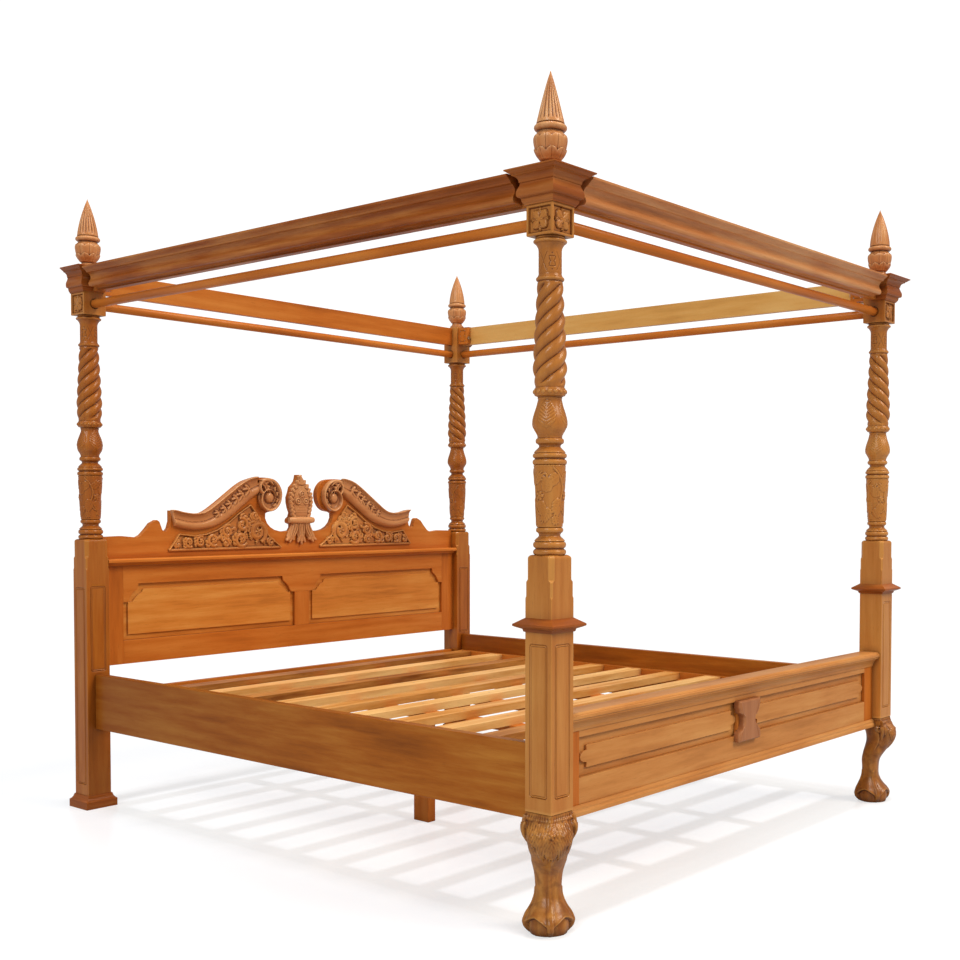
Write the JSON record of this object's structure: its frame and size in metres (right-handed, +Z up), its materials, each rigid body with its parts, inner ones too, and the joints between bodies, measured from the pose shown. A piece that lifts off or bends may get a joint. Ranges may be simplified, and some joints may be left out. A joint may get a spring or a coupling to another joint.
{
  "type": "four-poster bed",
  "caption": "Carved wooden four-poster bed frame with twisted posts, lift-off finials, cornice, curtain rods, slatted base and scrolled headboard.",
  "frame": {"origin": "on the floor, under the middle of the bed's overall box", "axes": "+Z up, +Y towards the headboard, +X to the right seen from the foot end"},
  "size_m": [2.002, 2.2544, 2.132],
  "materials": {
    "post_wood": "satin carved hardwood, honey brown",
    "board_wood": "satin hardwood boards, orange brown",
    "rail_wood": "satin hardwood rails with open figure",
    "slat_wood": "pale plain slat timber",
    "rod_wood": "smooth polished rod",
    "carved_wood": "satin carved hardwood, darker in the hollows",
    "ornament_wood": "carved hardwood, reddish brown",
    "screw_steel": "plain steel screws",
    "plate_steel": "plain steel bed fittings"
  },
  "bodies": {
    "bed": {"cartouche": "carved_wood", "claw_leg_left": "post_wood", "claw_leg_right": "post_wood", "corner_cap_foot_left": "post_wood", "corner_cap_foot_right": "post_wood", "corner_cap_head_left": "post_wood", "corner_cap_head_right": "post_wood", "cornice_foot": "board_wood", "cornice_left": "board_wood", "cornice_right": "board_wood", "crest_board": "board_wood", "crest_foliage_left": "carved_wood", "crest_foliage_right": "carved_wood", "foot_post_collars": "post_wood", "foot_post_left": "post_wood", "foot_post_right": "post_wood", "footboard_base_moulding": "board_wood", "footboard_bottom_rail": "board_wood", "footboard_cap": "board_wood", "footboard_ornament": "ornament_wood", "footboard_panels": "board_wood", "footboard_stiles": "board_wood", "footboard_top_rail": "board_wood", "head_cross_rail": "board_wood", "head_post_feet": "post_wood", "head_post_left": "post_wood", "head_post_right": "post_wood", "headboard_bottom_rail": "board_wood", "headboard_muntin": "board_wood", "headboard_panel_left": "board_wood", "headboard_panel_right": "board_wood", "headboard_shelf": "board_wood", "headboard_stiles": "board_wood", "headboard_top_rail": "board_wood", "rail_hook_plates": "plate_steel", "rail_keeper_plates": "plate_steel", "side_rail_left": "rail_wood", "side_rail_right": "rail_wood", "slat_bearers": "slat_wood", "slat_ledgers": "rail_wood", "slat_screws": "screw_steel", "slats": "slat_wood", "support_legs": "slat_wood", "swan_neck_left": "carved_wood", "swan_neck_right": "carved_wood", "tester_board_foot": "board_wood", "tester_board_head": "board_wood", "tester_board_left": "board_wood", "tester_board_right": "board_wood", "tester_bolts": "screw_steel", "tester_cleat_screws": "screw_steel", "tester_cleats": "slat_wood"},
    "curtain_rod_foot": {"curtain_rod_foot": "rod_wood"},
    "curtain_rod_head": {"curtain_rod_head": "rod_wood"},
    "curtain_rod_left": {"curtain_rod_left": "rod_wood"},
    "curtain_rod_right": {"curtain_rod_right": "rod_wood"},
    "finial_foot_left": {"finial_foot_left": "post_wood"},
    "finial_foot_right": {"finial_foot_right": "post_wood"},
    "finial_head_left": {"finial_head_left": "post_wood"},
    "finial_head_right": {"finial_head_right": "post_wood"}
  },
  "joints": [
    {"name": "finial_foot_left_lift", "type": "slide", "parent": "bed", "child": "finial_foot_left", "axis": [0, 0, 1], "range_m": [0, 0.05]},
    {"name": "finial_foot_right_lift", "type": "slide", "parent": "bed", "child": "finial_foot_right", "axis": [0, 0, 1], "range_m": [0, 0.05]},
    {"name": "finial_head_left_lift", "type": "slide", "parent": "bed", "child": "finial_head_left", "axis": [0, 0, 1], "range_m": [0, 0.05]},
    {"name": "finial_head_right_lift", "type": "slide", "parent": "bed", "child": "finial_head_right", "axis": [0, 0, 1], "range_m": [0, 0.05]},
    {"name": "curtain_rod_foot_turn", "type": "hinge", "parent": "bed", "child": "curtain_rod_foot", "pos_m": [0, -1.04525, 1.765], "axis": [1, 0, 0], "continuous": true},
    {"name": "curtain_rod_head_turn", "type": "hinge", "parent": "bed", "child": "curtain_rod_head", "pos_m": [0, 1.06875, 1.765], "axis": [1, 0, 0], "continuous": true},
    {"name": "curtain_rod_left_turn", "type": "hinge", "parent": "bed", "child": "curtain_rod_left", "pos_m": [-0.919, 0.01175, 1.765], "axis": [0, 1, 0], "continuous": true},
    {"name": "curtain_rod_right_turn", "type": "hinge", "parent": "bed", "child": "curtain_rod_right", "pos_m": [0.919, 0.01175, 1.765], "axis": [0, 1, 0], "continuous": true}
  ]
}
